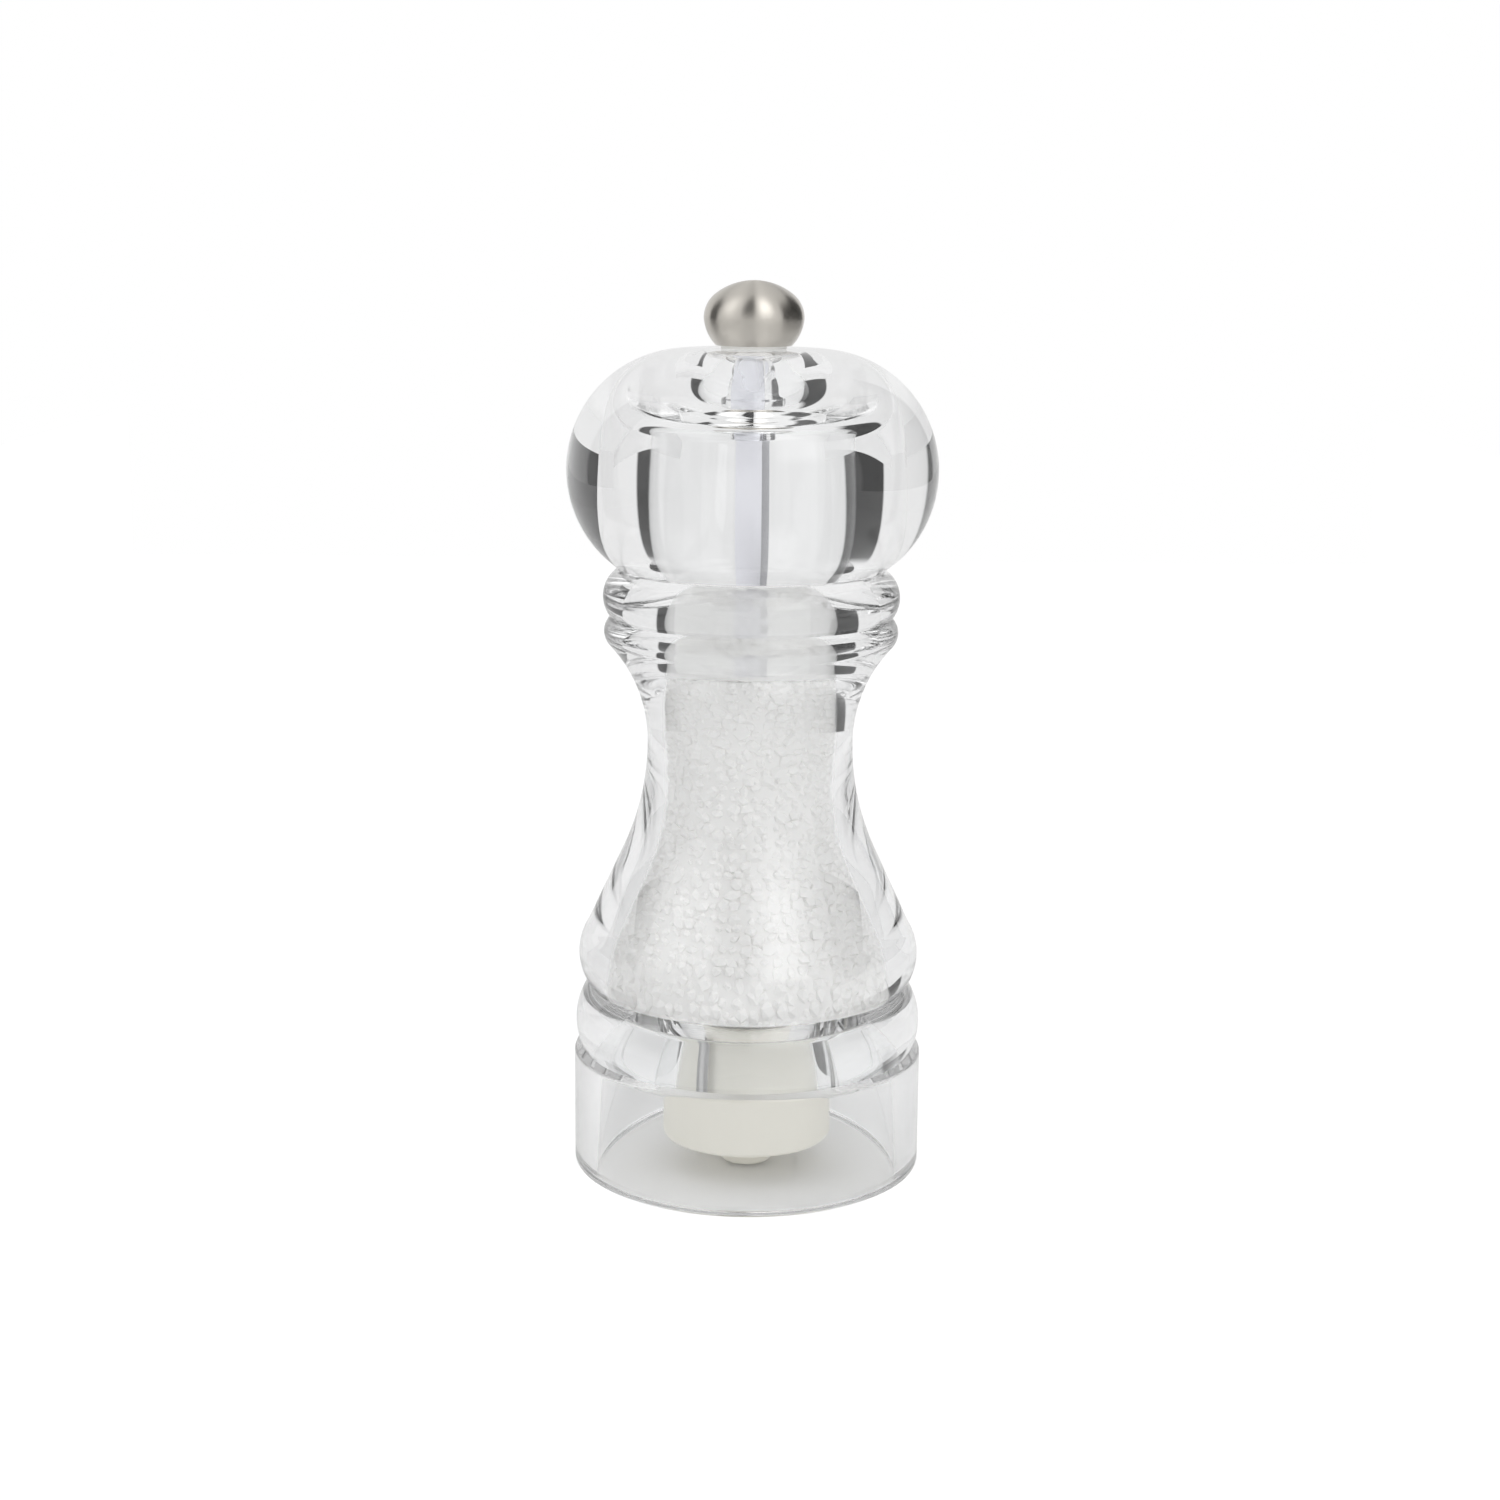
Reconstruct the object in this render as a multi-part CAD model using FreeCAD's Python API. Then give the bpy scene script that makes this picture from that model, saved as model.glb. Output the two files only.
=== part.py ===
import FreeCAD, Part
import math
import os

# Hand-turned salt and pepper mill, clear acrylic, capstan shape. Millimetres, +Z up.
# The origin is on the axis, on the table plane under the foot.
# Radii are measured from the axis, and heights are stacked from the table upwards.

# Fits
running_fit = 0.06          # radial, one piece turning or sliding in another
seat_gap = 0.05             # between two pieces of one body that lie face to face
turning_gap = 0.3           # between faces of two bodies that turn past each other
fill_gap = 0.2              # between the salt and the walls round it

# Body, outside
foot_radius = 29.8
foot_height = 20.9
foot_edge = 0.8
foot_shoulder = 0.8
lower_groove_radius = 28.5
lower_bead_radius = 29.5
lower_bead_height = 11.1
lower_bead_peak = 0.35      # share of the height at the widest point
upper_groove_radius = 27.2
bulge_radius = 28.97
bulge_height = 10.1
bulge_peak = 0.57
bulge_end_radius = 27.5
waist_radius = 17.33
waist_rise = 31.7           # from the end of the bulge to the narrowest point
waist_curve = 44.0          # radius of the hollow curve below the narrowest point
flare_height = 16.7
flare_radius = 23.8
collar_bead_radius = 24.65
collar_bead_height = 4.5
collar_groove_radius = 23.5
rim_bead_radius = 24.82
rim_bead_height = 8.0
rim_bead_peak = 0.47
rim_edge_radius = 22.3

# Body, inside
foot_bore_radius = 25.3
shoulder_height = 31.0      # table to the shoulder that the carrier seats against
chamber_radius = 23.5
chamber_straight = 4.0
chamber_taper = 24.0        # degrees from the vertical
chamber_lower_curve = 10.0
chamber_upper_curve = 45.0
neck_bore_radius = 14.4
spigot_wall = 2.5
spigot_height = 2.2
small_edge = 0.5

# Head
head_round = 19.8           # radius of the bun's section
head_rise = 16.2            # head's lower face to its widest point
crown_flat_radius = 11.0
cavity_radius = 17.2
cavity_height = 22.7
cavity_corner = 2.0
recess_radius = 8.5         # round recess in the cavity's ceiling
recess_height = 7.5
recess_mouth = 4.0          # rounding where the recess meets the ceiling

# Drive bush in the head
drive_sleeve_wall = 0.45
drive_sleeve_height = 3.5
drive_flange_radius = 5.3
drive_flange = 6.5
drive_collar = 4.5

# Knob
knob_foot_radius = 6.3
knob_radius = 8.26
knob_belly_height = 4.4
knob_belly_bow = 0.45
knob_dome_height = 6.1
knob_shoulder = 5.0         # radius of the turn from the belly to the dome
knob_washer_radius = 5.4
knob_washer_thickness = 0.5
insert_radius = 3.4
insert_length = 6.6

# Drive shaft
shaft_side = 4.5
shaft_turn = 72.7           # degrees, as it stands at rest
thread_radius = 2.0
knob_thread = 6.2           # length inside the knob
knob_neck = 3.0             # round length below the crown's top
adjust_up = 1.4             # travel to the finest setting
adjust_down = 0.35          # travel to the coarsest setting
nut_clearance = 0.3         # table to the nut at the coarsest setting

# Grinder carrier
carrier_height = 12.0
carrier_floor = 2.6
carrier_dish = 1.0          # fall of the floor towards the middle
carrier_hub_radius = 15.2
carrier_rim = 2.7

# Grinder housing
housing_radius = 11.7
housing_wall = 1.2
throat_radius = 9.5
bridge_thickness = 2.4
bridge_drop = 0.6           # bridge top below the carrier's dished floor
bridge_boss_wall = 1.4
bridge_arm = 3.2
bridge_arms = 3
bridge_turn = 90.0          # degrees to the first arm
flange_thickness = 2.4
skirt_radius = 12.7
stator_shoulder = 3.6       # shoulder above the flange's upper face

# Grinding cup, the ivory cup seen in the foot
cup_radius = 14.5
cup_lip = 2.0
cup_lip_radius = 10.3
cup_edge = 0.9

# Fixing screws
screw_count = 3
screw_circle = 13.5
screw_radius = 0.9
screw_head_radius = 1.6
screw_head = 1.0
screw_length = 8.0

# Stator ring and rotor burr
stator_mouth_radius = 9.1
burr_taper = 0.2            # radius lost for each millimetre of height
burr_gap = 0.6              # at rest, wider than when set fine
stator_teeth = 20
stator_tooth_depth = 0.6
key_count = 3
key_turn = 60.0             # degrees to the first key
key_width = 1.8
key_depth = 0.6
burr_height = 13.4
burr_below_stator = 0.8
burr_feed_height = 5.0      # upper part that draws the crystals in
burr_feed_taper = 0.36
burr_teeth = 14
burr_tooth_depth = 0.8
burr_skew = 14.0            # degrees that a tooth turns over the burr's height

# Rotor core and its fasteners
core_wall = 0.95
core_flange_radius = 7.6
core_flange = 1.5
core_proud = 0.4            # core above the burr
rotor_washer_radius = 5.0
rotor_washer_thickness = 0.7
nut_radius = 4.4
nut_height = 3.55
shaft_foot = 2.6            # shaft end inside the nut

# Shaft bush in the bridge
bush_wall = 0.85            # at the corners of the square hole
bush_lip = 1.1              # flange beyond the sleeve
bush_flange = 0.9
clip_thickness = 0.9
clip_reach = 1.1            # clip beyond the sleeve
clip_opening = 60.0         # degrees
end_play = 0.1

# Spring
wire_radius = 0.4
spring_clearance = 0.6      # from the shaft's corners to the wire
spring_turns = 3.0
spring_washer_thickness = 0.5
spring_washer_margin = 0.4  # washer beyond the spring

# Salt
fill_level = 58.0           # above the carrier's seat
fill_heap = 1.4
fill_heap_place = 0.6       # share of the neck's radius where the heap is steepest
fill_core_gap = 0.4         # from the shaft's corners to the salt

# Radii worked out from the square shaft
shaft_corner = shaft_side / math.sqrt(2)
sliding_corner = shaft_corner + running_fit * math.sqrt(2)
crown_hole_radius = shaft_corner + turning_gap
drive_sleeve_radius = sliding_corner + drive_sleeve_wall
bush_radius = sliding_corner + bush_wall
bush_flange_radius = bush_radius + bush_lip
clip_radius = bush_radius + clip_reach
bridge_boss_radius = bush_radius + running_fit + bridge_boss_wall
core_side = shaft_side + 2 * core_wall
spring_radius = shaft_corner + spring_clearance + wire_radius
spring_washer_radius = spring_radius + wire_radius + spring_washer_margin
fill_core_radius = shaft_corner + fill_core_gap

# Heights worked out from the lengths above
lower_bead_top = foot_height + lower_bead_height
bulge_top = lower_bead_top + bulge_height
waist_z = bulge_top + waist_rise
flare_top = waist_z + flare_height
collar_bead_top = flare_top + collar_bead_height
rim_top = collar_bead_top + rim_bead_height
head_bottom = rim_top + turning_gap
head_middle = head_bottom + head_rise
crown_top = head_middle + head_round
ceiling = head_bottom + cavity_height
recess_top = ceiling + recess_height
knob_bottom = crown_top + knob_washer_thickness + 2 * seat_gap
carrier_top = shoulder_height - seat_gap
carrier_bottom = carrier_top - carrier_height
dish_bottom = carrier_top - carrier_dish
flange_top = carrier_bottom - seat_gap
flange_bottom = flange_top - flange_thickness
bridge_top = dish_bottom - bridge_drop
bridge_bottom = bridge_top - bridge_thickness
housing_bore = housing_radius - housing_wall
nut_bottom = nut_clearance + adjust_down
nut_top = nut_bottom + nut_height
washer_bottom = nut_top + seat_gap
core_bottom = washer_bottom + rotor_washer_thickness + seat_gap
burr_bottom = core_bottom + core_flange + seat_gap
burr_top = burr_bottom + burr_height
core_top = burr_top + core_proud
stator_bottom = burr_bottom + burr_below_stator
stator_top = flange_top + stator_shoulder - seat_gap
cup_floor = stator_bottom - seat_gap
cup_bottom = cup_floor - cup_lip
thread_top = knob_bottom + knob_thread
clip_bottom = bridge_bottom - end_play - clip_thickness
spring_bottom = core_top + 2 * seat_gap + spring_washer_thickness

axis_origin = FreeCAD.Vector(0, 0, 0)
up = FreeCAD.Vector(0, 0, 1)


def at(radius, height):
    """Point of an outline, in the plane that is turned about the axis."""
    return FreeCAD.Vector(radius, 0, height)


def round_points(before, corner, after, radius):
    """Start, middle and end of the arc that rounds a corner between two straight lines."""
    back = (before - corner).normalize()
    ahead = (after - corner).normalize()
    half = back.getAngle(ahead) / 2
    reach = radius / math.tan(half)
    centre = corner + (back + ahead).normalize() * (radius / math.sin(half))
    middle = centre + (corner - centre).normalize() * radius
    return corner + back * reach, middle, corner + ahead * reach


def turned(*corners):
    """Solid turned about the axis from (radius, height) corners.

    A third value rounds the corner by that radius, and "via" makes the point the
    middle of an arc between its neighbours.
    """
    points = [at(corner[0], corner[1]) for corner in corners]
    via = [len(corner) > 2 and corner[2] == "via" for corner in corners]
    count = len(corners)
    starts, ends, edges = list(points), list(points), []
    for i, corner in enumerate(corners):
        if len(corner) > 2 and not via[i]:
            arc = round_points(points[i - 1], points[i], points[(i + 1) % count], corner[2])
            starts[i], ends[i] = arc[0], arc[2]
            edges.append(Part.Arc(*arc).toShape())
    for i in range(count):
        following = (i + 1) % count
        if via[i]:
            continue
        if via[following]:
            last = (i + 2) % count
            edges.append(Part.Arc(ends[i], points[following], starts[last]).toShape())
        elif (ends[i] - starts[following]).Length > 1e-6:
            edges.append(Part.LineSegment(ends[i], starts[following]).toShape())
    wire = Part.Wire(Part.__sortEdges__(edges))
    return Part.Face(wire).revolve(axis_origin, up, 360)


def tube(outer, inner, bottom, top):
    return turned((inner, bottom), (outer, bottom), (outer, top), (inner, top))


def square_bar(side, bottom, top):
    """Square bar on the axis, standing at the shaft's angle."""
    bar = Part.makeBox(side, side, top - bottom, FreeCAD.Vector(-side / 2, -side / 2, bottom))
    bar.rotate(axis_origin, up, shaft_turn)
    return bar


def around(shape, count, first=0.0):
    """Copies of a shape at equal angles about the axis."""
    copies = []
    for i in range(count):
        copy = shape.copy()
        copy.rotate(axis_origin, up, first + 360.0 * i / count)
        copies.append(copy)
    return copies


def hollow_arc(top_radius, top_height, start_radius, start_height, curve):
    """Tangent point and middle of the arc that runs from a straight slope to a vertical end.

    The slope starts at start_radius and start_height, and the arc's centre lies outside
    the outline, level with its vertical end.
    """
    centre = at(top_radius + curve, top_height)
    start = at(start_radius, start_height)
    away = start - centre
    turn = math.acos(curve / away.Length)
    bearing = math.atan2(away.z, away.x) % (2 * math.pi) - turn
    halfway = (bearing + math.pi) / 2
    touch = centre + at(math.cos(bearing), math.sin(bearing)) * curve
    middle = centre + at(math.cos(halfway), math.sin(halfway)) * curve
    return (touch.x, touch.z), (middle.x, middle.z)


def flare_middle(low_radius, low_height, high_radius, high_height):
    """Middle of the arc that leaves a vertical line and ends at a wider point."""
    rise, spread = high_height - low_height, high_radius - low_radius
    curve = (rise ** 2 + spread ** 2) / (2 * spread)
    turn = math.asin(rise / curve) / 2
    return low_radius + curve * (1 - math.cos(turn)), low_height + curve * math.sin(turn)


def chamber_corners(gap):
    """Corners of the chamber wall, from the shoulder up to the straight neck."""
    low, high = chamber_radius - gap, neck_bore_radius - gap
    taper = math.radians(chamber_taper)
    below, above = chamber_lower_curve - gap, chamber_upper_curve + gap
    lower_drop, upper_drop = below * (1 - math.cos(taper)), above * (1 - math.cos(taper))
    slope = (low - high - lower_drop - upper_drop) / math.tan(taper)
    z0 = shoulder_height + chamber_straight
    z1 = z0 + below * math.sin(taper)
    z2 = z1 + slope
    z3 = z2 + above * math.sin(taper)
    half = taper / 2
    lower_middle = (low - below * (1 - math.cos(half)), z0 + below * math.sin(half), "via")
    upper_middle = (high + above * (1 - math.cos(half)), z3 - above * math.sin(half), "via")
    return [(low, z0), lower_middle, (low - lower_drop, z1),
            (high + upper_drop, z2), upper_middle, (high, z3)]


def body():
    waist_start, waist_middle = hollow_arc(waist_radius, waist_z, bulge_end_radius, bulge_top, waist_curve)
    flare = flare_middle(waist_radius, waist_z, flare_radius, flare_top)
    spigot_radius = neck_bore_radius + spigot_wall
    spigot_top = rim_top + spigot_height
    outside = [
        (foot_bore_radius, 0, small_edge),
        (foot_radius, 0, foot_edge),
        (foot_radius, foot_height - foot_edge, foot_shoulder),
        (lower_groove_radius, foot_height),
        (lower_bead_radius, foot_height + lower_bead_height * lower_bead_peak, "via"),
        (upper_groove_radius, lower_bead_top),
        (bulge_radius, lower_bead_top + bulge_height * bulge_peak, "via"),
        (bulge_end_radius, bulge_top),
        waist_start,
        (*waist_middle, "via"),
        (waist_radius, waist_z),
        (*flare, "via"),
        (flare_radius, flare_top),
        (collar_bead_radius, flare_top + collar_bead_height / 2, "via"),
        (collar_groove_radius, collar_bead_top),
        (rim_bead_radius, collar_bead_top + rim_bead_height * rim_bead_peak, "via"),
        (rim_edge_radius, rim_top),
        (spigot_radius, rim_top),
        (spigot_radius, spigot_top, small_edge),
        (neck_bore_radius, spigot_top, small_edge),
    ]
    shoulder = [(chamber_radius, shoulder_height), (foot_bore_radius, shoulder_height)]
    return turned(*outside, *chamber_corners(0)[::-1], *shoulder)


def salt_fill():
    wall = chamber_corners(fill_gap)
    rim = carrier_top + fill_gap
    floor = dish_bottom + fill_gap
    top = carrier_top + fill_level
    pocket_radius = bush_flange_radius + turning_gap
    pocket_top = bridge_top + end_play + bush_flange + turning_gap
    neck = wall[-1][0]
    return turned(
        (fill_core_radius, pocket_top), (pocket_radius, pocket_top), (pocket_radius, floor),
        (housing_radius, floor), (chamber_radius - fill_gap, rim), *wall, (neck, top),
        (neck * fill_heap_place, top + fill_heap, "via"), (fill_core_radius, top + fill_heap))


def grinder_carrier():
    """Clear moulding that closes the chamber's floor and holds the grinder."""
    outer = foot_bore_radius - seat_gap
    bore = housing_radius + seat_gap
    under = dish_bottom - carrier_floor
    shell = turned(
        (bore, carrier_bottom), (carrier_hub_radius, carrier_bottom), (carrier_hub_radius, under, small_edge),
        (outer - carrier_rim, under, small_edge), (outer - carrier_rim, carrier_bottom),
        (outer, carrier_bottom), (outer, carrier_top), (chamber_radius, carrier_top), (bore, dish_bottom))
    hole = Part.makeCylinder(screw_radius + seat_gap, screw_length + small_edge,
                             FreeCAD.Vector(screw_circle, 0, carrier_bottom))
    return shell.cut(around(hole, screw_count))


def grinder_housing():
    """Ivory sleeve with a three-armed bridge, a screwed flange and a skirt for the stator."""
    shoulder = flange_top + stator_shoulder
    skirt_bottom = cup_floor + seat_gap
    sleeve = turned(
        (housing_bore, skirt_bottom), (skirt_radius, skirt_bottom), (skirt_radius, flange_bottom),
        (cup_radius, flange_bottom), (cup_radius, flange_top), (housing_radius, flange_top),
        (housing_radius, bridge_top, small_edge), (throat_radius, bridge_top),
        (throat_radius, shoulder), (housing_bore, shoulder))
    boss = Part.makeCylinder(bridge_boss_radius, bridge_thickness, FreeCAD.Vector(0, 0, bridge_bottom))
    arm = Part.makeBox(throat_radius + housing_wall, bridge_arm, bridge_thickness,
                       FreeCAD.Vector(0, -bridge_arm / 2, bridge_bottom))
    arm = arm.common(Part.makeCylinder(throat_radius + small_edge, bridge_top))
    bore = Part.makeCylinder(bush_radius + running_fit, bridge_top)
    housing = sleeve.fuse([boss] + around(arm, bridge_arms, bridge_turn)).removeSplitter().cut(bore)
    hole = Part.makeCylinder(screw_radius + seat_gap, flange_top, FreeCAD.Vector(screw_circle, 0, 0))
    recess = Part.makeCylinder(screw_head_radius + seat_gap, screw_head + 2 * seat_gap,
                               FreeCAD.Vector(screw_circle, 0, flange_bottom))
    slot_width = key_width + 2 * seat_gap
    slot = Part.makeBox(key_depth + housing_bore, slot_width, stator_top - skirt_bottom + seat_gap,
                        FreeCAD.Vector(0, -slot_width / 2, skirt_bottom))
    slot = slot.cut(Part.makeCylinder(throat_radius, stator_top + seat_gap))
    screw_cuts = around(hole, screw_count) + around(recess, screw_count)
    return housing.cut(screw_cuts + around(slot, key_count, key_turn))


def housing_screws():
    """Three countersunk-flush screws that hold the housing's flange to the carrier."""
    head_bottom_z = flange_bottom + seat_gap
    head = Part.makeCylinder(screw_head_radius, screw_head, FreeCAD.Vector(screw_circle, 0, head_bottom_z))
    shank = Part.makeCylinder(screw_radius, flange_thickness - seat_gap + screw_length,
                              FreeCAD.Vector(screw_circle, 0, head_bottom_z))
    slot = Part.makeBox(2 * screw_head_radius, screw_radius / 2, screw_head / 2,
                        FreeCAD.Vector(screw_circle - screw_head_radius, -screw_radius / 4, head_bottom_z))
    return Part.makeCompound(around(head.fuse(shank).cut(slot), screw_count))


def grinding_cup():
    """Ivory cup round the grinder, whose lip keeps the stator in."""
    cup_top = flange_bottom - seat_gap
    return turned(
        (cup_lip_radius, cup_bottom, small_edge), (cup_radius, cup_bottom, cup_edge),
        (cup_radius, cup_top), (skirt_radius + seat_gap, cup_top),
        (skirt_radius + seat_gap, cup_floor), (cup_lip_radius, cup_floor))


def cone_radius(height, gap=0.0):
    """Radius of the stator's grinding cone at a height, less a gap."""
    return stator_mouth_radius - burr_taper * (height - stator_bottom) - gap


def tooth_cutter(low, high, depth, width, skew):
    """Wedge along a cone's side, from the low (radius, height) to the high one, turned by skew."""
    def section(radius, height, turn):
        tip = at(radius - depth, height)
        left = FreeCAD.Vector(radius + depth, -width, height)
        right = FreeCAD.Vector(radius + depth, width, height)
        wire = Part.makePolygon([tip, left, right, tip])
        wire.rotate(axis_origin, up, turn)
        return wire
    return Part.makeLoft([section(*low, 0), section(*high, skew)], True, True)


def stator_ring():
    """Ceramic ring with grinding teeth on its inner cone and keys on its rim."""
    outer = housing_bore - seat_gap
    ring = turned(
        (cone_radius(stator_bottom), stator_bottom), (outer, stator_bottom),
        (outer, stator_top), (cone_radius(stator_top), stator_top))
    reach = stator_tooth_depth
    cutter = tooth_cutter((cone_radius(stator_bottom - reach) - reach, stator_bottom - reach),
                          (cone_radius(stator_top + reach) - reach, stator_top + reach),
                          -2 * reach, -reach, -burr_skew)
    key = Part.makeBox(outer + key_depth - seat_gap, key_width, stator_top - stator_bottom,
                       FreeCAD.Vector(0, -key_width / 2, stator_bottom))
    key = key.cut(Part.makeCylinder(outer - small_edge, stator_top))
    ring = ring.cut(around(cutter, stator_teeth))
    return ring.fuse(around(key, key_count, key_turn)).removeSplitter()


def rotor_burr():
    """Ceramic cone with skewed teeth, steeper where it draws the crystals in."""
    feed_bottom = burr_top - burr_feed_height
    feed_radius = cone_radius(feed_bottom, burr_gap)
    top_radius = feed_radius - burr_feed_taper * burr_feed_height
    low_radius = cone_radius(burr_bottom, burr_gap)
    cone = turned((0, burr_bottom), (low_radius, burr_bottom), (feed_radius, feed_bottom),
                  (top_radius, burr_top), (0, burr_top))
    depth = burr_tooth_depth
    cutter = tooth_cutter((low_radius + burr_taper * depth, burr_bottom - depth),
                          (cone_radius(burr_top + depth, burr_gap), burr_top + depth),
                          depth, depth, burr_skew)
    cone = cone.cut(around(cutter, burr_teeth))
    return cone.cut(square_bar(core_side + 2 * seat_gap, burr_bottom, burr_top))


def shaft_hole(bottom, top, fit):
    return square_bar(shaft_side + 2 * fit, bottom, top)


def rotor_core():
    """Square post on the shaft that carries the burr and turns it."""
    flange = Part.makeCylinder(core_flange_radius, core_flange, FreeCAD.Vector(0, 0, core_bottom))
    post = square_bar(core_side, core_bottom, core_top)
    return flange.fuse(post).removeSplitter().cut(shaft_hole(core_bottom, core_top, seat_gap))


def drive_shaft():
    """Square bar with round threaded ends, for the knob above and the nut below."""
    square_bottom = core_bottom
    square_top = crown_top - knob_neck
    bar = square_bar(shaft_side, square_bottom, square_top)
    lower = Part.makeCylinder(thread_radius, square_bottom - nut_top + shaft_foot,
                              FreeCAD.Vector(0, 0, nut_top - shaft_foot))
    upper = Part.makeCone(thread_radius, thread_radius - small_edge, small_edge,
                          FreeCAD.Vector(0, 0, thread_top - small_edge))
    stem = Part.makeCylinder(thread_radius, thread_top - small_edge - square_top,
                             FreeCAD.Vector(0, 0, square_top))
    return bar.fuse([lower, stem, upper]).removeSplitter()


def rotor_nut():
    """Round ivory nut, the small hub seen under the cup."""
    bore = thread_radius + seat_gap
    bore_bottom = nut_top - shaft_foot - seat_gap
    return turned((0, nut_bottom), (nut_radius, nut_bottom, small_edge), (nut_radius, nut_top),
                  (bore, nut_top), (bore, bore_bottom), (0, bore_bottom))


def shaft_bush():
    """Bush that turns in the bridge and lets the square shaft slide."""
    under = bridge_top + end_play
    top = under + bush_flange
    sleeve = turned((0, clip_bottom), (bush_radius, clip_bottom), (bush_radius, under),
                    (bush_flange_radius, under), (bush_flange_radius, top), (0, top))
    groove = tube(bush_flange_radius, bush_radius - small_edge,
                  clip_bottom + seat_gap, clip_bottom + clip_thickness)
    return sleeve.cut(groove).cut(shaft_hole(clip_bottom, top, running_fit))


def bush_clip():
    """Open ring in the bush's groove, under the bridge."""
    ring = tube(clip_radius, bush_radius - small_edge + seat_gap,
                clip_bottom + 2 * seat_gap, clip_bottom + clip_thickness - seat_gap)
    gap = Part.makeCylinder(2 * clip_radius, bridge_top, axis_origin, up, clip_opening)
    return ring.cut(gap)


def half_arc(start, control, end):
    """Arc from start to end whose tangents meet at the control point."""
    chord = end - start
    centre = (start + end) * 0.5
    turn = (control - start).getAngle(end - control)
    rise = (control - centre).normalize() * (chord.Length / 2 * math.tan(turn / 4))
    return Part.Arc(start, centre + rise, end).toShape()


def helix_edges(radius, bottom, rise, turns):
    """Helix as pairs of tangent arcs, one pair for each quarter turn."""
    steps = max(1, round(4 * turns))
    sweep = 2 * math.pi * turns / steps
    climb = rise / steps
    def station(i):
        a = i * sweep
        point = FreeCAD.Vector(radius * math.cos(a), radius * math.sin(a), bottom + climb * i)
        along = FreeCAD.Vector(-radius * math.sin(a), radius * math.cos(a), climb / sweep).normalize()
        return point, along
    edges = []
    for i in range(steps):
        (p0, t0), (p1, t1) = station(i), station(i + 1)
        across, both = p1 - p0, t0 + t1
        bend = 2 * (1 - t0.dot(t1))
        reach = (math.sqrt(across.dot(both) ** 2 + bend * across.dot(across)) - across.dot(both)) / bend
        first, second = p0 + t0 * reach, p1 - t1 * reach
        joint = (first + second) * 0.5
        edges += [half_arc(p0, first, joint), half_arc(joint, second, p1)]
    return edges


def least_self_gap(edges, turns):
    """Least distance between the wire's surfaces at points more than half a turn apart."""
    points = [point for edge in edges for point in edge.discretize(6)[:-1]]
    count = len(points)
    apart = int(count / turns / 2)
    pairs = ((points[i] - points[j]).Length for i in range(count) for j in range(i + apart, count))
    return min(pairs) - 2 * wire_radius


def grind_spring():
    """Compression spring between the bush's clip and the rotor."""
    low = spring_bottom + seat_gap + wire_radius
    high = clip_bottom - seat_gap - wire_radius
    edges = helix_edges(spring_radius, low, high - low, spring_turns)
    print("spring least gap to itself: %.2f mm" % least_self_gap(edges, spring_turns))
    start, along = edges[0].Vertexes[0].Point, edges[0].tangentAt(edges[0].FirstParameter)
    section = Part.Wire(Part.makeCircle(wire_radius, start, along))
    return Part.Wire(edges).makePipeShell([section], True, False)


def spring_washer():
    """Flat washer over the square shaft, between the spring and the rotor."""
    bottom = core_top + seat_gap
    ring = Part.makeCylinder(spring_washer_radius, spring_washer_thickness, FreeCAD.Vector(0, 0, bottom))
    return ring.cut(shaft_hole(bottom, bottom + spring_washer_thickness, seat_gap))


def head():
    lower_radius = crown_flat_radius + math.sqrt(head_round ** 2 - head_rise ** 2)
    socket = drive_sleeve_radius + seat_gap
    socket_top = recess_top + drive_sleeve_height + seat_gap
    return turned(
        (cavity_radius, head_bottom, small_edge), (lower_radius, head_bottom),
        (crown_flat_radius + head_round, head_middle, "via"), (crown_flat_radius, crown_top),
        (crown_hole_radius, crown_top), (crown_hole_radius, socket_top), (socket, socket_top),
        (socket, recess_top), (recess_radius, recess_top, small_edge), (recess_radius, ceiling, recess_mouth),
        (cavity_radius, ceiling, cavity_corner))


def drive_bush():
    """Clear bush glued in the crown, with the square hole that turns the shaft."""
    seat = recess_top - seat_gap
    under = seat - drive_flange
    bottom, top = under - drive_collar, recess_top + drive_sleeve_height
    sleeve = drive_sleeve_radius
    bush = turned((0, bottom), (sleeve, bottom, small_edge), (sleeve, under), (drive_flange_radius, under),
                  (drive_flange_radius, seat), (sleeve, seat), (sleeve, top), (0, top))
    return bush.cut(shaft_hole(bottom, top, running_fit))


def knob():
    """Turned steel knob, a tapered belly under a low dome."""
    belly = knob_bottom + knob_belly_height
    top = belly + knob_dome_height
    spare = knob_radius - knob_shoulder
    spread = spare ** 2 + knob_dome_height ** 2 - knob_shoulder ** 2
    dome = spread / (2 * (knob_dome_height - knob_shoulder))
    lean = math.atan2(spare, belly - top + dome)
    join = (dome * math.sin(lean), top - dome + dome * math.cos(lean))
    half = (math.pi / 2 - lean) / 2
    shoulder = (spare + knob_shoulder * math.cos(half), belly + knob_shoulder * math.sin(half), "via")
    crest = (dome * math.sin(lean / 2), top - dome + dome * math.cos(lean / 2), "via")
    side = ((knob_foot_radius + knob_radius) / 2 + knob_belly_bow, knob_bottom + knob_belly_height / 2, "via")
    bore = insert_radius + seat_gap
    bore_top = max(thread_top + adjust_up, knob_bottom + insert_length) + turning_gap
    return turned((bore, knob_bottom), (knob_foot_radius, knob_bottom), side, (knob_radius, belly), shoulder,
                  join, crest, (0, top), (0, bore_top), (bore, bore_top))


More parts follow.
